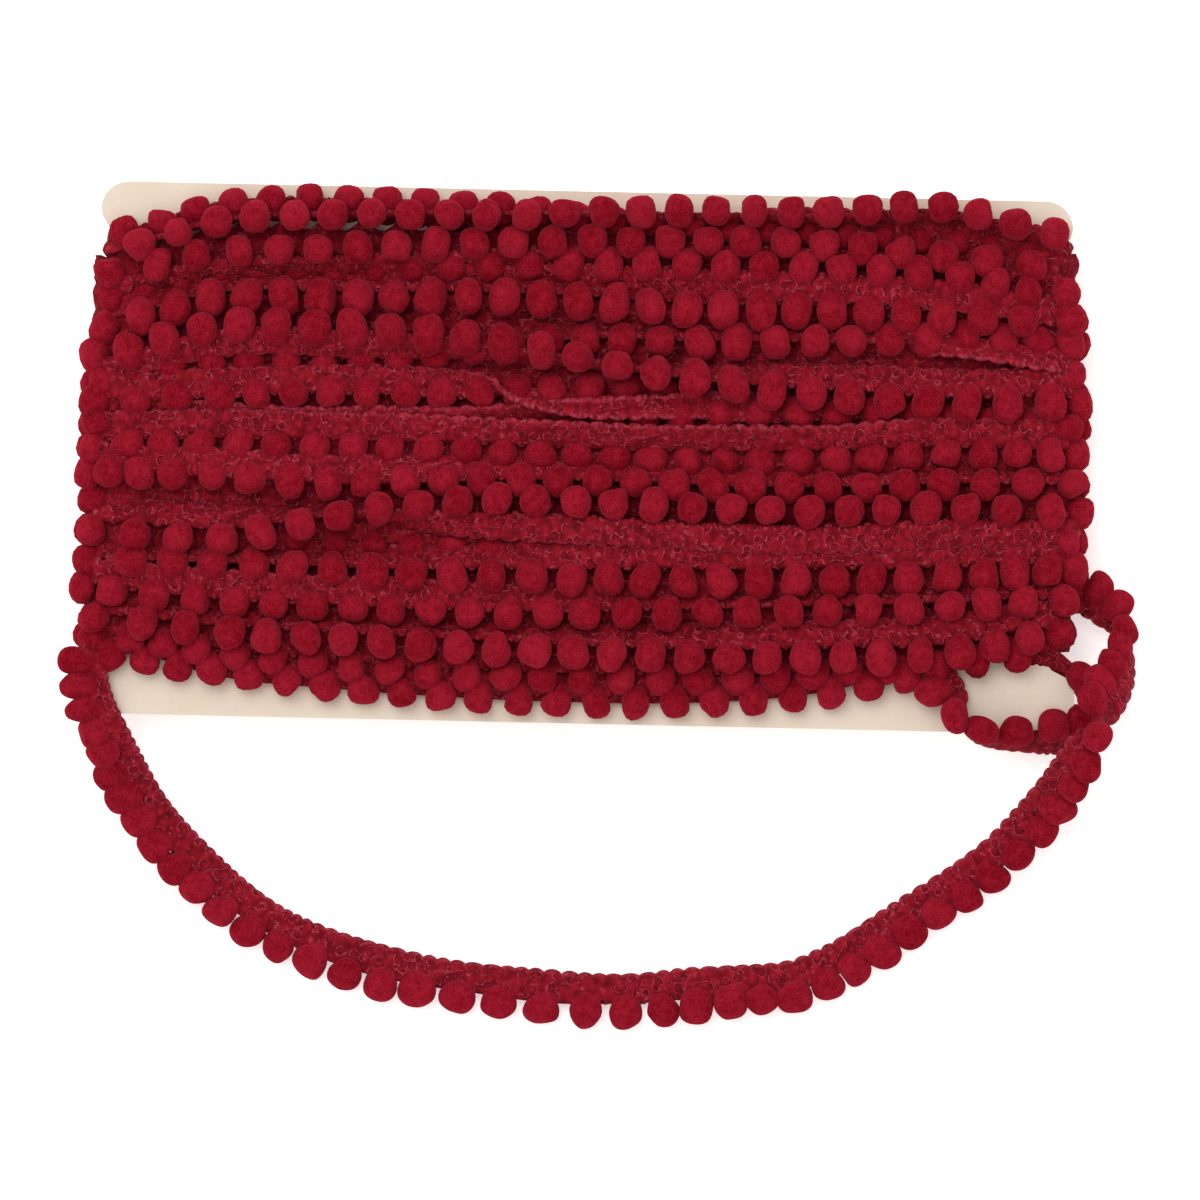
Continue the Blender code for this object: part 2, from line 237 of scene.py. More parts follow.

# %% [markdown]
# Warp knitting makes soft lumps of yarn about 1.3 mm apart, each painted lighter in its
# middle, with painted shade in the hollows between them.  Here and there a loop of the smooth
# yarn stands clear of them: a light ring or arc of painted highlight with a thin painted shadow inside.
# The free edge is bound with the same smooth yarn, shown as a broken light line of painted highlight.
# The stitches are cells of a pattern that follows the band, because a band that twists
# takes its knit along; modelled loops would cost thousands of faces on each turn.

# %% Knitted band
STITCH, COURSE = 1.3, 1.6  # a stitch along the band, a course across it, mm
CURL = 2.0  # from one standing loop of yarn to the next, mm
knit, tree = new_material("crimson warp-knitted viscose", {
    "Roughness": 0.85, "Specular IOR Level": 0.1, "Sheen Weight": 0.3, "Sheen Roughness": 0.4,
    "Sheen Tint": linear("#bc3a4c")})
along = add_node(tree, "UVMap", {"uv_map": "stitches"})
threads = add_noise(tree, along, 1.3, 2.0, Roughness=0.6)
uneven = add_node(tree, "VectorMath", {"operation": "MULTIPLY_ADD", 0: threads.node.outputs["Color"],
                                       1: (0.6, 0.9, 0.0), 2: along})
scaled = add_node(tree, "Mapping", {"Vector": uneven, "Scale": (1 / STITCH, 1 / COURSE, 1.0)})
lumps = add_node(tree, "TexVoronoi", {"feature": "SMOOTH_F1", "Vector": scaled, "Scale": 1.0,
                                      "Smoothness": 0.5, "Randomness": 0.75})
curls = add_node(tree, "TexVoronoi", {"Vector": uneven, "Scale": 1 / CURL, "Randomness": 0.9})
# painted shade: each lump lighter in its middle and darker towards the hollows round it
shades = add_ramp(tree, lumps, (0.1, "#a4182b"), (0.75, "#6c0916"))
# a standing loop is an uneven ring round its cell's middle, with painted shadow inside and
# painted highlight outside, shown only near the ring, and only where a slow noise lets a part of it stand
off = add_node(tree, "Math", {"operation": "SUBTRACT", 0: add_sum(tree, threads, 0.5, curls), 1: 0.68})
beside = add_range(tree, off, -0.12, 0.12, 0.0, 1.0)
curl_highlight_and_shadow = add_ramp(tree, beside, (0.5, "#42030d"), (0.62, "#bc4658"))
apart = add_node(tree, "Math", {"operation": "ABSOLUTE", 0: off})
near = add_range(tree, apart, 0.07, 0.14, 1.0, 0.0)
standing = add_range(tree, add_noise(tree, along, 1.1, 1.0), 0.42, 0.54, 0.0, 0.65)
share = add_node(tree, "Math", {"operation": "MULTIPLY", 0: standing, 1: near})
yarn_with_painted_light = add_node(tree, "Mix", {"data_type": "RGBA", 0: share, 6: shades, 7: curl_highlight_and_shadow}, 2)
# a free edge lies 2.6 mm or more from the band's middle line, and the painted highlight of its binding
# starts at 1.9 mm
across = add_node(tree, "SeparateXYZ", {0: along}, "Y")
rim = add_range(tree, across, -1.9, -2.4, 0.0, 0.5)
highlight_breaks = add_range(tree, threads, 0.4, 0.6)
edge_highlight = add_node(tree, "Math", {"operation": "MULTIPLY", 0: rim, 1: highlight_breaks})
edged = add_node(tree, "Mix", {"data_type": "RGBA", 0: edge_highlight, 6: yarn_with_painted_light, 7: linear("#b8455a")}, 2)
swell = add_sum(tree, share, 0.6, add_sum(tree, lumps, -1.2, threads))
add_surface(tree, edged, swell, strength=0.7, depth=0.5)

# %% [markdown]
# The yarn that ties the balls on is twisted tight, so it is the smoothest red on the trim
# and shows as small dots between the balls.  A twisted noise of 0.6 mm stands for its
# plies, because a dot shows hardly more of them.

# %% Twisted tie yarn
tie, tree = new_material("crimson twisted viscose", {
    "Roughness": 0.6, "Specular IOR Level": 0.15, "Sheen Weight": 0.1, "Sheen Tint": linear("#c24658")})
place = add_node(tree, "TexCoord", {}, "Object")
plies = add_noise(tree, place, repeats(0.6), 2.0, Distortion=0.6)
shades = add_ramp(tree, plies, (0.35, "#6c0d1a"), (0.75, "#922434"))
add_surface(tree, shades, plies, strength=0.5, depth=0.2)

# %% [markdown]
# Uncoated paperboard is matt, with pressed fibres that mottle it slightly, and a die-cut
# edge that is a little darker than its faces.  Faces and edge are one piece, so the edge is
# told from them by its normal, which lies level.

# %% Uncoated ivory board
board, tree = new_material("uncoated ivory paperboard", {"Roughness": 0.82, "Specular IOR Level": 0.3})
place = add_node(tree, "TexCoord", {}, "Object")
facing = add_node(tree, "NewGeometry", {}, "Normal")
upright = add_node(tree, "SeparateXYZ", {0: facing}, "Z")
level = add_node(tree, "Math", {"operation": "ABSOLUTE", 0: upright})
fibres = add_noise(tree, place, repeats(1.2), 6.0, Roughness=0.7)
clouds = add_noise(tree, place, repeats(14.0), 2.0)
shades = add_ramp(tree, add_sum(tree, fibres, 0.5, clouds), (0.5, "#e4d5c2"), (1.0, "#eee1d0"))
edged = add_node(tree, "Mix", {"data_type": "RGBA", 0: level, 6: linear("#c9b8a2"), 7: shades}, 2)
add_surface(tree, edged, fibres, strength=0.3, depth=0.1)
print("finishes:", [m.name for m in (pile, knit, tie, board)])

# %% [markdown]
# ## Shapes of the trim
# The trim has three shapes, used over and over: the band, which is a flat oval carried
# along a line, the ball, which is a sphere pulled into a pear, and the tie dot.  A sphere
# made of six square grids has no poles, so the pile's shading stays even all round it.

# %% Sphere of square grids
def cube_sphere(cells):
    """Points and quads of a unit sphere: six grids of cells by cells on a cube, each point
    at tan(place * 45 degrees) on its side and then divided by its length."""
    step = np.tan(np.linspace(-1, 1, cells + 1) * np.pi / 4)
    a, b = np.meshgrid(step, step, indexing="ij")
    one = np.ones_like(a)
    sides = ((one, a, b), (-one, b, a), (b, one, a), (a, -one, b), (a, b, one), (b, a, -one))
    grids = np.concatenate([np.stack(side, -1).reshape(-1, 3) for side in sides])
    row = np.arange(cells)
    corner = (row[:, None] * (cells + 1) + row).ravel()
    quad = np.stack([corner, corner + cells + 1, corner + cells + 2, corner + 1], 1)
    quads = np.concatenate([quad + k * (cells + 1) ** 2 for k in range(6)])
    points, kept = np.unique(np.round(grids, 6), axis=0, return_inverse=True)
    return unit(points), kept.ravel()[quads]


def copies(quads, points_each, count):
    """Faces of count copies of a shape, whose points follow each other in one array."""
    return (quads[None] + points_each * np.arange(count)[:, None, None]).reshape(-1, 4)


# %% Many balls at once
# half sizes along the band, through it and away from it, mm
BALL_HALF = np.array([2.88, 2.65, 3.05])
PRESSED_FROM = 0.82  # pressed flat beyond this share of a half size


def ball_points(shape, centres, away, ahead, size, chance):
    """Points of many balls.  For a point p of the unit sphere, with its third part w away
    from the band: p is squared up a little (each part to the power 0.88).  On four sides
    neighbours press it in: 0.6 of what stands out beyond PRESSED_FROM is taken away there,
    with a soft edge.  Towards the band the ball narrows by up to 10 %, and the whole is
    swollen by two slow waves of 5 %.  Sides and waves differ from ball to ball.  size
    scales the three half sizes."""
    away = unit(away)
    side = unit(ahead - away * np.sum(ahead * away, 1, keepdims=True))
    through = np.cross(away, side)
    waves = unit(chance.normal(size=(len(centres), 2, 3)))
    phase = chance.uniform(0, 2 * np.pi, (len(centres), 2, 1))
    swell = 1 + 0.05 * np.sin(np.einsum("nwk,pk->nwp", 3.2 * waves, shape) + phase).sum(1)
    pear = 1 - 0.10 * ((1 - shape[:, 2]) / 2) ** 2
    angle = chance.uniform(0, 2 * np.pi, (len(centres), 4))
    sides = unit(np.stack([np.cos(angle), 0.4 * np.cos(3 * angle + 1), np.sin(angle)], -1))
    past = 0.05 * np.logaddexp(0, (np.einsum("nsk,pk->nps", sides, shape) - PRESSED_FROM) / 0.05)
    local = squared(shape, 0.88)[None] - 0.6 * np.einsum("nps,nsk->npk", past, sides)
    local = 1.02 * local * swell[:, :, None] * (size * BALL_HALF)[:, None, :]
    local[:, :, :2] *= pear[None, :, None]
    axes = np.stack([side, through, away], 1)
    return centres[:, None] + np.einsum("npk,nkx->npx", local, axes)


def add_balls(name, cells, centres, away, ahead, chance, size=1.0):
    """One piece of many balls, each with its own size and its own tone."""
    shape, quads = cube_sphere(cells)
    size = size * (1 + chance.uniform(-1, 1, (len(centres), 3)) * (0.05, 0.05, 0.08))
    points = ball_points(shape, centres, away, ahead, size, chance)
    tones = np.repeat(chance.uniform(-0.06, 0.06, len(centres)), len(shape))
    return add_piece(name, points.reshape(-1, 3), copies(quads, len(shape), len(centres)), pile,
                     attributes={"tone": tones})


def add_dots(name, centres, ahead, chance):
    """One piece of many tie dots: small knots of 24 faces, longer along the band."""
    shape, quads = cube_sphere(2)
    ahead = unit(ahead)
    side = unit(np.cross(ahead, chance.normal(size=ahead.shape)))
    axes = np.stack([ahead, side, np.cross(ahead, side)], 1)
    size = chance.uniform(0.2, 1.0, (len(centres), 1, 1)) * np.array([0.9, 0.5, 0.5])
    points = centres[:, None] + np.einsum("npk,nkx->npx", shape[None] * size, axes)
    return add_piece(name, points.reshape(-1, 3), copies(quads, len(shape), len(centres)), tie)


# %% The knitted band
BAND_HALF = 2.6  # half the band's width, mm
BAND_THICK = 0.75  # half its thickness, mm
SCALLOP = 3.2  # from one lump of the free edge to the next, mm


def band_points(centre, edge, length, around, scallop, half):
    """Rings of a band along a line.  At angle a round the ring, a point lies
    width * cos(a) towards the balls and thickness * sin(a) through the band, and both
    cosine and sine are squared up so that the faces are flat.  Along the free edge the
    yarn is drawn up into rounded lumps, |sin(pi * n)|^0.6 with n the number of scallops
    so far, which runs a little unevenly: they widen the edge and thicken the band beside
    it, and fade out towards the balls.  scallop is a table of (length, spacing), and half
    is half the band's width."""
    ahead = unit(np.gradient(centre, axis=0))
    edge = unit(edge - ahead * np.sum(edge * ahead, 1, keepdims=True))
    face = np.cross(ahead, edge)
    angle = np.linspace(0, 2 * np.pi, around, endpoint=False)
    across, through = squared(np.cos(angle), 0.8), squared(np.sin(angle), 0.6)
    spacing = np.interp(length, *np.array(scallop).T)
    number = np.concatenate([[0.0], np.cumsum(np.diff(length) / spacing[1:])]) + 0.12 * np.sin(length / 2.3)
    lump = np.abs(np.sin(np.pi * number))[:, None] ** 0.6 - 0.6
    lump = lump * (spacing[:, None] / SCALLOP) * (1 + 0.3 * np.sin(length / 3.7)[:, None])
    free = np.clip(0.35 - 0.65 * across, 0, 1)
    width = half * (1 - 0.05 * np.sin(length / 5.1)[:, None]) + 0.65 * lump * free**3
    thick = BAND_THICK + 0.3 * lump * free + 0.06 * np.cos(2 * np.pi * length / STITCH)[:, None]
    points = (centre[:, None] + (width * across)[:, :, None] * edge[:, None]
              + (thick * through)[:, :, None] * face[:, None])
    uv = np.stack(np.broadcast_arrays(length[:, None], across * half), -1)
    return points.reshape(-1, 3), uv.reshape(-1, 2)


def ring_faces(rings, around):
    """Quads between neighbouring rings, and the two end rings as caps."""
    ring, place = np.meshgrid(np.arange(rings - 1), np.arange(around), indexing="ij")
    beside = (place + 1) % around
    quads = np.stack([ring * around + place, ring * around + beside,
                      (ring + 1) * around + beside, (ring + 1) * around + place], -1).reshape(-1, 4)
    return quads, [np.arange(around)[::-1], (rings - 1) * around + np.arange(around)]


def at_lengths(line, values, places):
    """Values given along a line of points, read at lengths along it."""
    length = run_length(line)
    return np.stack([np.interp(places, length, values[:, k]) for k in range(values.shape[1])], 1)


def add_bands(name, strands, rings_per_mm, around, scallop=((0, SCALLOP),), half=BAND_HALF):
    """One piece of many bands.  A strand is its middle line and its direction to the balls.
    Each band starts at its own place in the knit's pattern, so that no two look alike."""
    points, quads, caps, uvs, start = [], [], [], [], 0
    for number, (line, edge) in enumerate(strands):
        total = run_length(line)[-1]
        places = np.linspace(0, total, int(total * rings_per_mm))
        ring, uv = band_points(at_lengths(line, line, places), at_lengths(line, edge, places),
                               places, around, scallop, half)
        faces, ends = ring_faces(len(places), around)
        points.append(ring)
        uvs.append(uv + (37.0 * number, 0.0))
        quads.append(faces + start)
        caps += [end + start for end in ends]
        start += len(ring)
    return add_piece(name, np.concatenate(points), np.concatenate(quads), knit, caps=caps,
                     uv=np.concatenate(uvs))


# %% [markdown]
# ## Two loose loops
# One loop of trim hangs out of the winding and lies on the table, and a short one stands
# at the lower right corner, where the long one comes back over it.  Each is a free cord:
# a fixed length of limp band, led out of the winding and back into it.  A route gives the
# band's middle and how far the balls are turned round it: 0 is flat and outwards, 90
# straight up, 180 inwards.

# %% Routes of the loops
LONG_LOOP = np.array((
    (-86.6, -32.6, 8.6, 8), (-87.5, -35.6, 11.6, 8),
    (-88.1, -38.6, 12.8, 8), (-87.7, -43.0, 12.4, 8), (-86.3, -47.6, 11.9, 8), (-84.3, -51.9, 10.4, 8),
    (-81.2, -58.0, 7.2, 10), (-77.0, -64.9, 4.2, 12), (-70.6, -72.6, 2.2, 15), (-62.5, -80.2, 1.6, 15),
    (-53.5, -86.1, 1.5, 15), (-42.0, -90.8, 1.5, 15), (-28.4, -94.1, 1.5, 15), (-14.1, -95.9, 1.5, 15),
    (0.0, -97.0, 1.5, 15), (12.0, -96.8, 1.5, 16), (21.0, -95.8, 1.7, 20), (30.0, -95.0, 2.0, 26),
    (39.8, -93.9, 1.8, 20), (46.5, -91.3, 1.5, 15), (53.0, -87.6, 1.5, 15), (62.1, -81.3, 1.7, 15),
    (71.5, -74.6, 2.8, 12), (77.7, -69.7, 4.6, 10), (82.5, -64.4, 5.4, 10), (86.3, -58.8, 10.2, 10),
    (88.9, -54.4, 14.4, 14), (91.4, -50.4, 17.2, 20), (94.2, -46.4, 17.6, 105), (96.6, -42.2, 15.4, 168),
    (99.1, -37.6, 11.4, 145), (100.1, -33.2, 7.4, 114), (99.4, -29.8, 6.0, 82), (97.2, -27.4, 5.4, 44),
    (94.7, -25.2, 5.0, 22), (91.8, -23.6, 5.0, 14), (88.4, -22.8, 5.2, 12)))
SHORT_LOOP = np.array((
    (64.2, -37.4, 11.6, 16), (66.9, -39.2, 12.2, 22),
    (68.4, -41.9, 12.6, 30), (69.2, -44.2, 13.0, 60), (70.4, -47.0, 13.0, 88), (73.2, -48.8, 12.2, 112),
    (77.0, -49.7, 10.0, 120), (81.5, -50.0, 8.6, 122), (86.0, -49.7, 8.4, 140), (89.6, -49.4, 6.8, 140),
    (92.0, -48.4, 5.8, 120), (92.8, -45.2, 5.2, 100), (92.4, -42.0, 6.0, 80), (90.9, -39.3, 7.6, 70),
    (88.4, -36.6, 9.2, 60), (85.2, -34.9, 9.8, 40), (81.6, -33.6, 10.0, 20)))


def walk(route):
    """A route as close points, with the ball direction at each.  Outward is ahead x up,
    upward is outward x ahead, and the direction is cos(turn) * outward + sin(turn) * upward."""
    knots = np.arange(len(route))
    dense = np.linspace(0, knots[-1], knots[-1] * 24 + 1)
    line = smooth_through(knots, route[:, :3], dense)
    turn = np.radians(smooth_through(knots, route[:, 3], dense))[:, None]
    ahead = unit(np.gradient(line, axis=0))
    outward = unit(np.cross(ahead, (0.0, 0.0, 1.0)))
    upward = np.cross(outward, ahead)
    return line, np.cos(turn) * outward + np.sin(turn) * upward


def spaced(line, first, gaps):
    """Lengths along a line at which balls sit: the gap between two balls changes along
    the line as the table gaps (length, gap) says, so their count is the integral of 1/gap."""
    length = run_length(line)
    fine = np.linspace(first, length[-1], 2000)
    gap = np.interp(fine, *np.array(gaps).T)
    count = np.concatenate([[0.0], np.cumsum(np.diff(fine) / gap[1:])])
    return np.interp(np.arange(int(count[-1]) + 1), count, fine)


# %% Make a loop
LOOP_HALF = 2.9  # loose, the band spreads a little: half its width, mm
# length along the loop, and the spacing of the lumps on its free edge there, mm
LOOP_SCALLOPS = ((0, 2.0), (70, 2.1), (95, 2.9), (280, 2.9))


def add_loop(name, route, first, table, node_band, node_balls, seed):
    """A loop's band, balls and tie dots.  The table gives, at lengths along the loop, the
    gap between balls and the width of band and balls together.  Where that is narrow the
    balls lie closer over the band and are shorter, down to 1.2 mm half length on the
    band's middle line.  first is the first ball's length along the loop."""
    chance = np.random.default_rng(seed)
    line, edge = walk(route)
    band = add_bands(name + "_band", [(line, edge)], 4.0, 20, LOOP_SCALLOPS, LOOP_HALF)
    table = np.array(table)
    places = spaced(line, first, table[:, :2])
    centre, away = at_lengths(line, line, places), unit(at_lengths(line, edge, places))
    ahead = at_lengths(line, unit(np.gradient(line, axis=0)), places)
    spare = np.interp(places, table[:, 0], table[:, 2]) - LOOP_HALF
    reach = np.maximum((spare - 1.2) / 1.75, spare - BALL_HALF[2])
    pitch = np.clip(np.gradient(places), 4.0, 7.5)
    half_sizes = np.stack([np.minimum(0.75 + 0.5 * pitch, 3.3), 1.9 + 0.08 * pitch, spare - reach + 0.1], 1)
    reach = reach[:, None] + chance.uniform(-0.2, 0.2, (len(places), 1))
    balls = add_balls(name + "_balls", 8, centre + away * reach,
                      away + 0.1 * chance.normal(size=away.shape), ahead, chance, half_sizes / BALL_HALF)
    between = (places[1:] + places[:-1]) / 2
    dots = add_dots(name + "_ties", at_lengths(line, line, between)
                    + 2.6 * unit(at_lengths(line, edge, between)), ahead[:-1], chance)
    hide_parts(node_band)
    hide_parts(node_balls)


# length along the loop, gap between balls, width of band and balls together, mm
LONG_TABLE = (
    (0, 3.8, 8.6), (20, 4.1, 9.0), (28, 4.8, 9.4), (44, 5.2, 10.0), (60, 5.7, 10.3), (74, 6.1, 10.2),
    (97, 6.75, 9.8), (107, 7.5, 9.8), (119, 8.1, 9.9), (128, 7.5, 10.1), (140, 6.3, 10.3),
    (151, 6.5, 10.2), (157, 5.5, 10.1), (170, 5.4, 9.7), (185, 6.2, 9.2), (215, 5.9, 9.0),
    (228, 6.1, 9.1), (236, 5.6, 8.8), (240, 5.0, 8.6), (244, 4.4, 9.8), (249, 4.6, 9.8),
    (255, 4.8, 9.2), (262, 4.7, 8.8), (271, 4.3, 9.2), (280, 4.0, 9.2))
SHORT_TABLE = (
    (0, 7.5, 9.0), (9, 7.5, 9.2), (10.4, 3.9, 9.2), (14.2, 3.9, 9.6), (14.8, 8.0, 9.8), (30, 7.8, 9.6),
    (35, 8.4, 9.4), (38, 9.4, 9.0), (60, 13.0, 9.0))
add_loop("long_loop", LONG_LOOP, 8.0, LONG_TABLE, "loose_band", "loose_balls", 11)
add_loop("short_loop", SHORT_LOOP, 3.0, SHORT_TABLE, "small_loop_band", "small_loop_balls", 12)

# %% [markdown]
# ## The winding
# The trim goes round the card lengthwise about eighteen times.  On the front the turns
# cross and twist over each other, so each one is given by the line that its balls follow,
# by how far its band lies above or below that line, and by the heights of both over the
# card.  The ball row is the trim's strongest line, which is why it leads and the band
# follows.

# %% Turns on the front
PLACES = np.linspace(-88, 88, 9)  # where nine numbers are given along the card, mm
SIDES = np.linspace(-84, 84, 5)  # and where five are
PULLED = {"E": 1.2, "F": 1.18, "G": 1.08, "N": 1.1, "P": 1.06}  # rows of longer balls
# name: the balls' line; one ball's place, the spacing to its left and to its right;
# the band's offset from the balls, the band's height, the balls' height, all mm
FRONT = {
    "A": ((37.0, 44.2, 45.7, 45.1, 43.6, 42.0, 41.4, 40.4, 38.5), (-36.5, 6.95, 6.95),
          (-1.0, -1.7, -1.9, 2.4, 2.4), (1.2, 1.2, 1.2, 1.2, 1.2), (2.6, 2.5, 2.4, 1.8, 1.8)),
    "B": ((34.0, 41.2, 43.0, 43.4, 44.1, 45.0, 45.3, 46.3, 41.0), (3.0, 7.0, 6.8),
          (0.8, 0.7, 0.1, 0.6, -0.2, -1.4, -1.4, -1.4, -1.4), (2.4, 2.6, 2.6, 2.4, 2.2),
          (6.4, 6.6, 6.8, 6.4, 6.0)),
    "C": ((31.0, 35.6, 36.8, 38.0, 39.0, 39.5, 39.3, 37.4, 35.0), (1.0, 7.1, 7.0),
          (-3.2, -3.2, -2.8, -2.4, -2.4), (2.6, 2.6, 2.6, 1.8, 1.8), (5.5, 5.6, 5.6, 5.2, 5.0)),
    "D": ((26.5, 32.0, 32.9, 34.1, 34.9, 35.0, 35.0, 34.2, 31.3), (4.0, 7.1, 7.05),
          (-1.0, -1.0, -2.4, -3.6, -3.6), (1.4, 1.4, 2.8, 4.8, 4.6), (1.6, 1.5, 4.0, 5.2, 5.0)),
    "E": ((21.5, 27.4, 27.9, 28.5, 28.2, 27.3, 27.5, 26.9, 27.0), (5.3, 6.65, 6.6),
          (2.8, 2.8, 2.8, 2.8, 2.8), (1.6, 1.6, 1.6, 1.6, 1.6), (5.4, 5.4, 5.2, 5.0, 5.0)),
    "F": ((15.5, 22.0, 22.2, 21.0, 17.7, 14.2, 12.3, 11.0, 12.0), (-1.0, 6.85, 7.05),
          (-2.7, -2.7, -0.6, 3.2, 4.0), (5.2, 5.4, 4.2, 4.8, 5.2), (6.8, 7.0, 7.6, 6.8, 6.0)),
    "G": ((12.0, 16.4, 16.4, 19.0, 21.2, 21.2, 22.0, 23.0, 22.5), (7.0, 6.8, 6.9),
          (3.0, 3.0, 2.4, 1.4, -3.2), (1.4, 1.4, 1.8, 3.0, 5.6), (2.6, 2.6, 4.0, 5.2, 2.4)),
    "I": ((8.3, 9.8, 11.0, 11.2, 12.4, 13.0, 13.2, 14.0, 17.0), (-39.0, 6.75, 6.75),
          (2.2, 2.2, 2.2, 1.5, -3.2, -3.4, -3.3, -1.0, 3.0), (4.8, 4.8, 4.8, 4.8, 5.2, 4.0, 2.0, 1.4, 1.6),
          (5.2, 5.2, 5.2, 5.0, 2.6, 2.0, 1.8, 1.8, 2.8)),
    "J1": ((4.4, 2.6, 2.5, 3.4, 6.4, 8.2, 8.6, 8.4, 7.3), (11.0, 6.9, 7.0),
           (3.4, 3.5, 3.5, 3.2, 2.2, 1.6, 1.6, 1.6, 1.6), (2.8, 3.4, 3.6, 3.8, 4.4, 3.8, 2.6, 1.6, 1.4),
           (1.6, 1.4, 1.4, 1.5, 2.2, 3.4, 3.4, 2.8, 2.6)),
    "J2": ((0.2, 1.0, 1.0, 0.8, 0.2, 0.0, 0.5, 2.2, 2.4), (-21.0, 6.9, 6.7),
           (3.7, 3.7, 3.8, 4.0, 3.6), (4.6, 4.6, 5.2, 5.2, 4.6), (3.8, 3.6, 2.8, 2.7, 5.0)),
    "K": ((-4.5, -4.8, -5.7, -4.6, -4.2, -4.7, -4.6, -3.5, -2.8), (3.0, 7.0, 6.95),
          (2.4, 2.4, 2.0, 1.6, 1.6), (5.2, 5.2, 3.4, 2.6, 2.6), (5.8, 5.8, 5.4, 5.4, 5.6)),
    "L": ((-15.0, -16.3, -11.6, -8.7, -8.2, -8.8, -8.9, -7.9, -8.2), (-1.1, 7.1, 7.07),
          (4.2, 4.2, 0.6, -3.9, -5.0, -5.2, -5.2, -4.6, -4.0), (3.6, 3.6, 3.4, 5.4, 5.8, 5.8, 5.8, 5.8, 5.2),
          (6.2, 6.4, 7.6, 7.2, 7.0, 7.0, 7.0, 7.0, 6.6)),
    "M": ((-9.5, -14.3, -16.4, -16.5, -16.5, -16.5, -15.5, -14.5, -13.2), (-23.3, 7.1, 6.9),
          (3.0, 3.0, 2.4, 1.7, 1.7), (1.4, 1.4, 2.4, 3.4, 3.4), (1.6, 1.8, 2.2, 1.8, 1.8)),
    "N": ((-20.5, -20.8, -21.2, -22.0, -22.0, -22.0, -21.4, -20.3, -18.6), (-1.5, 7.2, 6.8),
          (1.8, 1.8, 1.8, 3.4, 4.4, 4.8, 4.8, 4.6, 4.2), (3.0, 3.0, 4.4, 4.5, 4.4),
          (6.0, 6.0, 5.4, 5.0, 4.8)),
    "O": ((-25.5, -27.4, -28.0, -28.4, -28.4, -27.7, -26.9, -25.6, -23.8), (1.5, 7.1, 7.3),
          (3.0, 3.0, 2.8, 2.4, 2.4), (5.4, 5.4, 4.0, 2.4, 2.4), (5.0, 5.0, 5.6, 6.2, 5.8)),
    "P": ((-31.0, -33.0, -33.9, -34.8, -35.3, -35.7, -35.3, -34.2, -29.8), (-0.7, 6.95, 7.0),
          (3.0, 3.0, 3.3, 4.2, 4.4), (2.6, 2.6, 3.4, 5.2, 3.8), (6.4, 6.6, 6.6, 6.4, 5.2)),
    "Q": ((-34.0, -36.8, -38.7, -39.8, -40.0, -39.8, -38.5, -36.0, -33.0), (1.0, 7.0, 7.0),
          (3.2, 3.2, 3.2, 3.2, 3.2), (1.4, 1.4, 1.4, 1.4, 1.4), (3.4, 3.4, 3.4, 3.4, 3.4)),
    "R": ((-37.0, -39.7, -42.7, -43.8, -44.2, -43.9, -41.8, -37.0, -34.0), (3.5, 7.05, 7.15),
          (3.2, 3.2, 3.2, 3.2, 3.2), (1.2, 1.2, 1.2, 1.2, 1.2), (2.7, 2.7, 2.7, 2.7, 2.7)),
}

# %% [markdown]
# At each end a turn bends round the card.  In a side view its line is half of a squared
# ellipse, flatter than a circle because the card is thin and the trim is pulled tight.
# The balls stay on the outside of the bend and lean a little to their side of the band.
# Front and back meet in the middle of an end, so each makes a quarter of the bend.

# %% A front turn
END_START = 82.0  # where the bends begin, mm from the middle
MID_HEIGHT = (CARD_FACE + CARD_BACK) / 2
END_LEAN, END_STAND = 3.4, 0.3  # balls beside and outside the band at the ends, mm
# how far the bends reach beyond END_START at heights y across the card, left and right, mm
REACH_AT = (-36, -31, -26, -20, -14, -8, 0, 8, 14, 20, 26, 31, 36)
REACH = {-1: (6.0, 6.6, 7.6, 7.4, 6.8, 6.6, 6.8, 6.3, 6.3, 4.9, 4.7, 4.7, 4.7),
         1: (4.7, 4.7, 5.8, 6.6, 7.3, 7.9, 6.9, 7.9, 7.1, 6.0, 6.9, 5.8, 5.2)}


BEND = np.linspace(0.04, 1, 26)  # shares of a bend, from its face to its middle


def bend(side, face, reach, height, row, beside, stand):
    """Band and ball lines of a quarter of a squared ellipse, at the end side (1 right, -1
    left) and on a face (1 front, -1 back): reach * sin(t)^0.8 past END_START and height *
    cos(t)^0.8 off the middle of the board, for t up to 90 degrees.  The balls lie beside
    the band, along row, and stand off it outwards; both are (at the face, at the end)."""
    t = BEND * np.pi / 2
    lean = beside[0] + BEND * (beside[1] - beside[0])
    off = stand[0] + BEND * (stand[1] - stand[0])
    band = np.stack([side * (END_START + reach * np.sin(t) ** 0.8), row - lean,
                     MID_HEIGHT + face * height * np.cos(t) ** 0.8], 1)
    return band, band + np.stack([side * np.sin(t) * off, lean, face * np.cos(t) * off], 1)


def extend(lines, ends, after):
    """Lines lengthened by their ends, after the last point or, reversed, before the first."""
    return [np.concatenate([line, end] if after else [end[::-1], line]) for line, end in zip(lines, ends)]


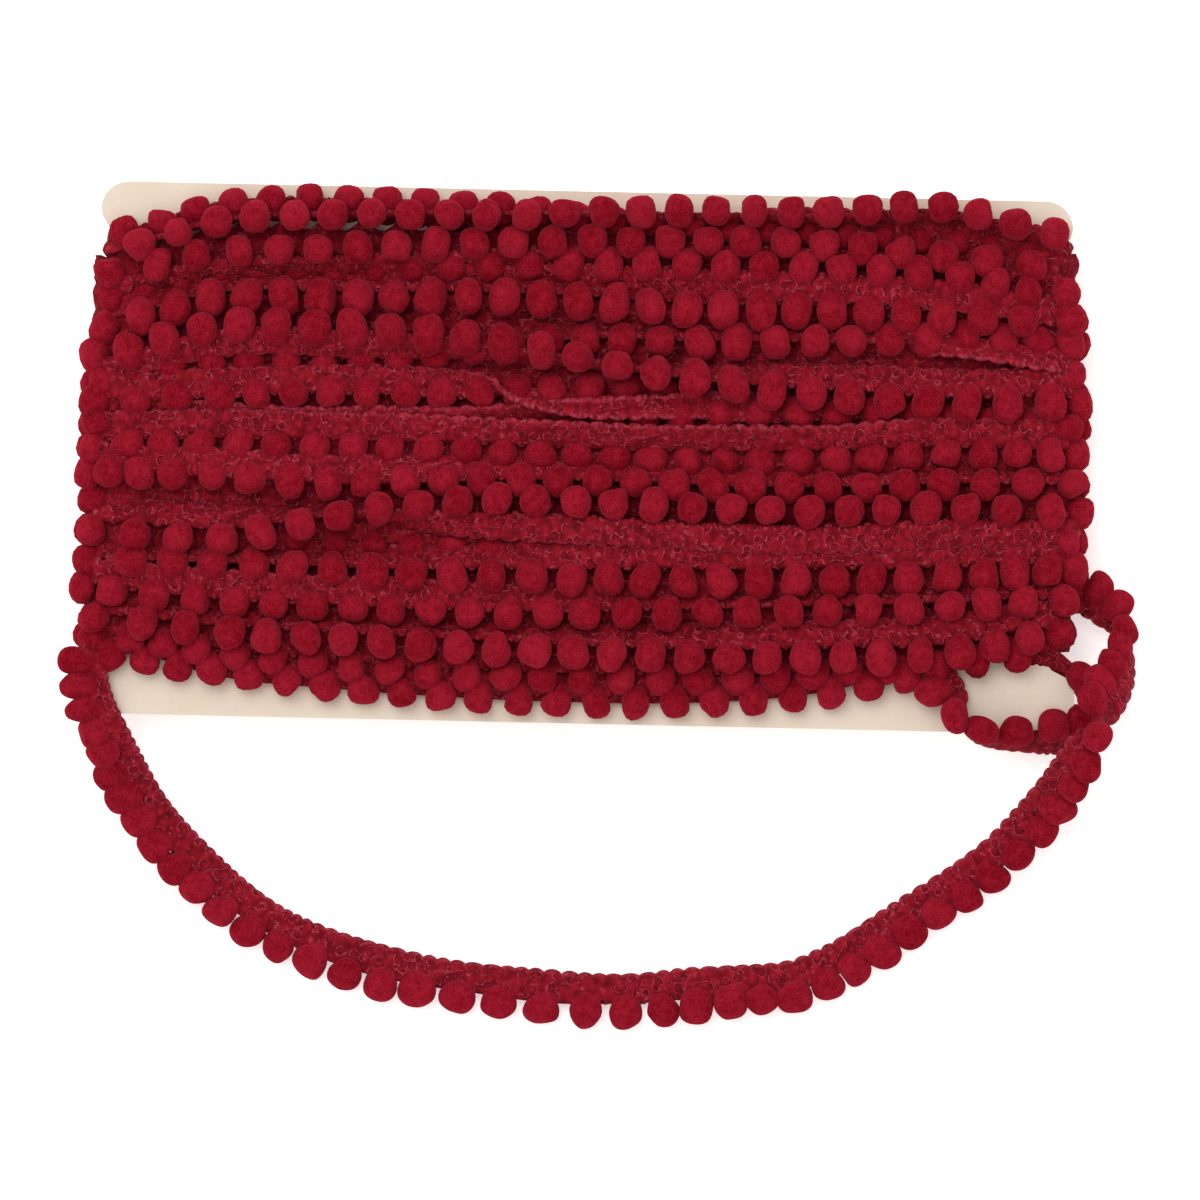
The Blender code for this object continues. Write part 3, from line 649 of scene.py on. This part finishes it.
def front_turn(line, offset, band_up, ball_up, stop=END_START):
    """Middle line of a turn's band and the places of its balls' line, from the middle of
    the left end, across the front, to the middle of the right end (or to x = stop).
    Heights shrink by up to 22 % over the last 20 mm, and a higher band bends further out."""
    x = np.linspace(-END_START, stop, 320)
    slim = 1 - 0.22 * np.clip((np.abs(x) - 62) / 20, 0, 1) ** 2
    y = smooth_through(PLACES, line, x)
    shift, low, high = (smooth_through(SIDES if len(values) == 5 else PLACES, values, x)
                        for values in (offset, band_up, ball_up))
    band = np.stack([x, y + shift, CARD_FACE + low * slim], 1)
    ball = np.stack([x, y, CARD_FACE + high * slim], 1)
    for side in ((-1, 1) if stop == END_START else (-1,)):
        tip = -1 if side > 0 else 0
        reach = np.interp(line[tip], REACH_AT, REACH[side]) + 0.25 * (band[tip, 2] - CARD_FACE - 2.5)
        row = smooth_through(PLACES, line, side * (END_START + 6 * BEND))
        lean = (ball - band)[tip]
        ends = bend(side, 1, reach, band[tip, 2] - MID_HEIGHT, row,
                    (lean[1], np.sign(lean[1] + 1e-6) * END_LEAN), (lean[2], END_STAND))
        band, ball = extend((band, ball), ends, side > 0)
    return band, ball


turns = {name: front_turn(line, offset, low, high, 64.0 if name == "R" else END_START)
         for name, (line, _spacing, offset, low, high) in FRONT.items()}
print("turns on the front:", len(turns), "trim in them, mm:",
      round(sum(run_length(band)[-1] for band, _ in turns.values())))

# %% [markdown]
# The back isn't seen in use, and it is wound plainly: even rows side by side, each joining
# a turn at the right end to the next one at the left end, with the balls of one row in the
# gaps of the next.  The balls stand on their bands there, and the whole winding rests on
# them.

# %% Rows on the back
BACK_BAND, BACK_STAND = CARD_BACK - 1.9, 3.9  # height of the bands, balls below them, mm


def ends_of(side):
    """Band and ball where each turn reaches the middle of an end, from the top down."""
    tip = -1 if side > 0 else 0
    found = [(band[tip], ball[tip]) for band, ball in turns.values() if side * band[tip, 0] > END_START]
    return sorted(found, key=lambda pair: -pair[1][1])


def back_row(number, count, right, left):
    """A row of the back from the right end to the left: its height across the card moves
    from the turn it continues to its own even place, and back, within 25 mm of the ends."""
    x = np.linspace(END_START, -END_START, 300)
    own = 39.0 - 78.0 * number / (count - 1)
    near = np.clip((np.abs(x) - 52) / 30, 0, 1) ** 2
    y = own + near * (np.where(x > 0, right[1][1], left[1][1]) - own)
    lean_right, lean_left = (right[1] - right[0])[1], (left[1] - left[0])[1]
    lean = lean_right + (lean_left - lean_right) * (0.5 - 0.5 * np.sin(np.pi * np.clip(x / 120, -0.5, 0.5)))
    lean *= 0.6 + 0.4 * near
    band = np.stack([x, y - lean, np.full_like(x, BACK_BAND)], 1)
    ball = np.stack([x, y, np.full_like(x, BACK_BAND - BACK_STAND)], 1)
    for side, (end_band, end_ball) in ((1, right), (-1, left)):
        tip = 0 if side > 0 else -1
        ends = bend(side, -1, abs(end_band[0]) - END_START, MID_HEIGHT - BACK_BAND, end_ball[1],
                    ((ball - band)[tip, 1], (end_ball - end_band)[1]), (BACK_STAND, END_STAND))
        band, ball = extend((band, ball), ends, side < 0)
    return band, ball


# one more row starts where the long loop comes back at the right, and one ends where it
# leads out at the left; the top turn's left end is the trim's own start
right_ends, left_ends = ends_of(1), ends_of(-1)[1:]
right_ends.append((np.array([88.0, -24.0, MID_HEIGHT]), np.array([89.5, -21.2, MID_HEIGHT])))
left_ends.append((np.array([-87.2, -35.4, MID_HEIGHT]), np.array([-90.2, -38.0, MID_HEIGHT])))
right_ends.sort(key=lambda pair: -pair[1][1])
rows = [back_row(number, len(right_ends), right, left)
        for number, (right, left) in enumerate(zip(right_ends, left_ends))]
print("rows on the back:", len(rows))

# %% [markdown]
# Balls that would share a place push each other apart, as they do when the trim is wound
# tight.  A short settling in numpy does it: every pair nearer than nearly a ball's width
# moves apart, mostly up and down, so that the rows keep their lines.  A ball of a low row,
# with less room over the board than its own half height, is pressed smaller.

# %% Place the balls of the winding
def ball_places(band, first_x, gap_left, gap_right, shy):
    """Lengths along the band at which balls sit: one at x = first_x, and others from it in
    even steps both ways.  The last three steps at each end are stretched or shortened a
    little, so that the last ball comes to lie shy mm before the middle of the bend."""
    length = run_length(band)
    flat = np.arange(len(band))[np.abs(band[:, 0]) <= END_START]
    order = flat[np.argsort(band[flat, 0])]
    start = np.interp(first_x, band[order, 0], length[order])
    total = length[-1]
    left = np.arange(start, shy[0] - gap_left / 2, -gap_left)[::-1]
    right = np.arange(start, total - shy[1] + gap_right / 2, gap_right)
    left += np.interp(left, left[[0, 3]], [shy[0] - left[0], 0.0])
    right += np.interp(right, right[[-4, -1]], [0.0, total - shy[1] - right[-1]])
    return np.concatenate([left[:-1], right])


def gather(strands, firsts, pulled, chance):
    """For the balls of many strands at once: their middles, the band beside each, the
    band's direction there, the places and directions of the tie dots, and how long each
    ball is.  Last balls lie 0.3 and 2.2 mm before the bend's middle by turns, so that those
    of neighbours interlock.  The outermost turns meet the card's corners and stop up to
    5 mm earlier, or 1.5 mm at the lower left, where a loop leads out."""
    found = []
    for number, ((band, ball), spacing, length) in enumerate(zip(strands, firsts, pulled)):
        tips = ball[[0, -1]]
        outermost = np.clip((np.abs(tips[:, 1]) - 29) / 4, 0, 1)
        corner = 5.0 * outermost * np.where(tips[:, :2].max(1) < 0, 0.3, 1.0)
        shy = np.array((0.3, 2.2))[[number % 2, (number + 1) % 2]] + chance.uniform(-0.3, 0.3, 2) + corner
        places = ball_places(band, *spacing, shy)
        ahead = unit(np.gradient(band, axis=0))
        middle, centre = at_lengths(band, band, places), at_lengths(band, ball, places)
        between = (places[1:] + places[:-1]) / 2
        edge = unit(at_lengths(band, ball - band, between))
        found.append((centre, middle, at_lengths(band, ahead, places),
                      at_lengths(band, band, between) + BAND_HALF * edge, at_lengths(band, ahead, between),
                      np.full(len(places), length)))
    return [np.concatenate(part) for part in zip(*found)]


def settle(centres, size, low, high, near, steps=25):
    """Moves apart the balls that are nearer than near times their mean size.  A pair moves
    along the line between them, with the sideways parts cut down, each ball is drawn a
    little towards its home, and its height stays between low and high."""
    home, now = centres.copy(), centres.copy()
    for _ in range(steps):
        gap = now[:, None] - now[None]
        apart = np.linalg.norm(gap, axis=2) + 100.0 * np.eye(len(now))
        push = np.clip(near * (size[:, None] + size) / 2 - apart, 0, None) / apart * 0.45
        now += (gap * push[:, :, None]).sum(1) * (0.4, 0.3, 0.8)
        now += (home - now) * (0.1, 0.15, 0.1)
        now[:, 2] = np.clip(now[:, 2], low, high)
    return now


FRONT_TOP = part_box("wound_trim")[1].z / MM
PITCH = 7.0  # from ball to ball along a row of the back, mm
REST = 2.6  # height of a whole ball's middle over the board, mm
NEAREST = 4.9  # whole balls press each other to this distance, mm
chance = np.random.default_rng(7)
front_parts = gather(turns.values(), [row[1] for row in FRONT.values()],
                     [PULLED.get(name, 1.0) for name in FRONT], chance)
starts = [PITCH / 2 * (number % 2) + 0.4 * np.sin(3.0 * number) for number in range(len(rows))]
back_parts = gather(rows, [(start, PITCH, PITCH) for start in starts], [1.0] * len(rows), chance)
split = len(front_parts[0])
middles = np.concatenate([front_parts[0], back_parts[0]])
front_ball = np.arange(len(middles)) < split
over_card = np.abs(middles[:, 0]) < END_START
on_front = front_ball & over_card
pressed = np.where(on_front, np.clip((middles[:, 2] - CARD_FACE) / REST, 0.55, 1.0), 1.0)
low = np.where(on_front, CARD_FACE + REST * pressed, 3.2)
high = np.where(~front_ball & over_card, CARD_BACK - 3.0, FRONT_TOP - 2.4)
settled = settle(middles, pressed, low, high, NEAREST)
print("balls on the winding:", len(middles), "moved on average, mm:",
      round(float(np.linalg.norm(settled - middles, axis=1).mean()), 2))

# %% Balls, ties and bands of the winding
front_bands = [(band, unit(ball - band)) for band, ball in turns.values()]
winding = [add_bands("front_bands_upper", front_bands[:9], 3.0, 14),
           add_bands("front_bands_lower", front_bands[9:], 3.0, 14),
           add_bands("back_bands", [(band, unit(ball - band)) for band, ball in rows], 1.0, 10)]
for label, parts, cells, which in (("front", front_parts, 4, slice(0, split)),
                                   ("back", back_parts, 3, slice(split, None))):
    centres, size = settled[which], pressed[which]
    away = unit(centres - parts[1]) * (1, 1, 0.5)
    away[:, 1] += np.where(away[:, 1] < 0, -0.25, 0.25)  # a ball on top of its band lies to one side
    away = unit(away) + 0.16 * chance.normal(size=centres.shape)
    shrunk = np.stack([0.5 + 0.5 * size, size, (0.3 + 0.7 * size) * parts[5]], 1)
    winding.append(add_balls(label + "_balls", cells, centres, away, parts[2], chance, shrunk))
    winding.append(add_dots(label + "_ties", parts[3], parts[4], chance))
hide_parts("wound_trim")

# %% [markdown]
# Between the rows the first turns show, deep in the shade.  They lie flat against the
# board all the way round, so they are one ribbed sleeve: a profile along the card's
# height, carried round the card's length.

# %% Inner turns
SLEEVE_LOW = (-34.0, -41.0, -43.0, -44.1, -44.5, -44.1, -41.8, -36.0, -33.4)  # rims at PLACES, mm
SLEEVE_HIGH = (34.2, 40.8, 41.1, 41.5, 42.7, 43.3, 43.3, 42.6, 39.5)
SLEEVE_REACH = 6.2  # how far it runs past END_START, mm
SLEEVE_OFF, SLEEVE_OUT = 0.35, 1.4  # inside and outside of its wall over the board, mm
RIB, KNIT = 4.6, 1.5  # between two bands, and between two stitches, mm
HANGING, FIRST = 6.9, -47.5  # spacing and place of the balls over its upper rim, mm
STRAIGHT, FLAT = 0.94, 0.34  # cosine where its bends begin, sine where they end


def sleeve_points(outer, around, rows_up):
    """Points of the sleeve: round the card as two straight runs joined by squared
    ellipses, and up the card in even steps.  Its outside stands up in a rib for each band,
    0.7 mm * |cos(pi * y / RIB)|, and in stitches of 0.15 mm on the ribs.  Its upper rim
    dips by almost a millimetre between each two balls that hang over it."""
    t = np.linspace(0, 2 * np.pi, around, endpoint=False)
    along, up = np.abs(np.cos(t)), np.abs(np.sin(t))
    beyond = np.clip((along - STRAIGHT) / (1 - STRAIGHT), 0, 1) ** 0.5
    x = np.sign(np.cos(t)) * (END_START * np.clip(along / STRAIGHT, 0, 1) + SLEEVE_REACH * beyond)
    z = np.sign(np.sin(t)) * np.clip(up / FLAT, 0, 1) ** 0.8
    low, high = (smooth_through(PLACES, rim, x)[:, None] for rim in (SLEEVE_LOW, SLEEVE_HIGH))
    high = high + 0.9 * np.cos(2 * np.pi * (x[:, None] - FIRST) / HANGING)
    y = low + (high - low) * np.linspace(0, 1, rows_up)
    rib = 0.7 * np.abs(np.cos(np.pi * y / RIB))
    rib += 0.15 * np.cos(2 * np.pi * (x[:, None] / KNIT + 0.25 * np.round(y / KNIT)))
    away = np.where(outer, SLEEVE_OUT + rib, SLEEVE_OFF)
    past_end = np.sign(x) * (np.abs(x) > END_START)
    half_board = (CARD_FACE - CARD_BACK) / 2
    return np.stack(np.broadcast_arrays(x[:, None] + past_end[:, None] * (away - SLEEVE_OFF) * 0.8,
                                        y, MID_HEIGHT + z[:, None] * (half_board + away)), -1)


def add_sleeve(around=420, rows_up=130):
    """Outer and inner walls of the sleeve, joined at its upper and lower rims."""
    outer, inner = (sleeve_points(o, around, rows_up) for o in (True, False))
    number = np.arange(around * rows_up).reshape(around, rows_up)
    after = np.roll(number, -1, axis=0)
    wall = np.stack([number[:, :-1], after[:, :-1], after[:, 1:], number[:, 1:]], -1).reshape(-1, 4)
    count = around * rows_up
    rims = [np.stack([after[:, k], number[:, k], number[:, k] + count, after[:, k] + count], -1)[:, ::flip]
            for k, flip in ((0, 1), (-1, -1))]
    quads = np.concatenate([wall[:, ::-1], wall + count, *rims])
    points = np.concatenate([outer.reshape(-1, 3), inner.reshape(-1, 3)])
    girth = 350.0  # round the card, mm
    # the shift also keeps the painted highlight of a band's free edge off the sleeve
    clear = 60.0  # keeps the knit's pattern off a band's free edge, mm
    run = np.repeat(np.linspace(0, girth, around), rows_up)
    uv = np.stack([np.tile(run, 2), points[:, 1] + clear], 1)
    return add_piece("inner_turns", points, quads, knit, uv=uv)


add_sleeve()

# %% [markdown]
# ## Card
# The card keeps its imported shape, which is its real outline.  It only gets its finish.

# %% Finish the card
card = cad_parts["card"]
card.data.materials.clear()
card.data.materials.append(board)

# %% [markdown]
# ## Table and light
# A plain white sheet of paper as the table, one wide soft light above the card's far side,
# and an even room.  The soft light keeps the pile matt; its lean towards the far side
# leaves a faint shade on the card below the winding.

# %% Table
paper = new_material("matt white paper sweep", {
    "Base Color": linear("#fbfbfa"), "Roughness": 0.9, "Specular IOR Level": 0.2,
    "Emission Color": linear("#ffffff"), "Emission Strength": 0.45})[0]
TABLE_HALF, TABLE_TOP = 4.0, -0.0003  # its top is just below the balls that rest on it, m
square = ((-1, -1), (1, -1), (1, 1), (-1, 1))
floor_mesh = bpy.data.meshes.new("table")
floor_mesh.from_pydata([(x * TABLE_HALF, y * TABLE_HALF, TABLE_TOP) for x, y in square], [], [(0, 1, 2, 3)])
floor_mesh.materials.append(paper)
floor = new_object("table", floor_mesh)

# %% Lights
def add_light(name, place, size, watts):
    """A square soft light at a place, turned to the middle of the object; not seen itself."""
    light = bpy.data.lights.new(name, "AREA")
    light.size, light.energy = size, watts
    lamp = new_object(name, light)
    lamp.location = place
    lamp.rotation_euler = (-lamp.location).to_track_quat("-Z", "Y").to_euler()
    lamp.visible_camera = False


add_light("key", (-0.3, 0.42, 1.22), 0.8, 6.6)
room = bpy.data.worlds.new("room")
room.use_nodes = True
room.node_tree.nodes["Background"].inputs["Color"].default_value = linear("#fffdfb")
room.node_tree.nodes["Background"].inputs["Strength"].default_value = 0.77
bpy.context.scene.world = room
bpy.context.scene.view_settings.view_transform = "Standard"
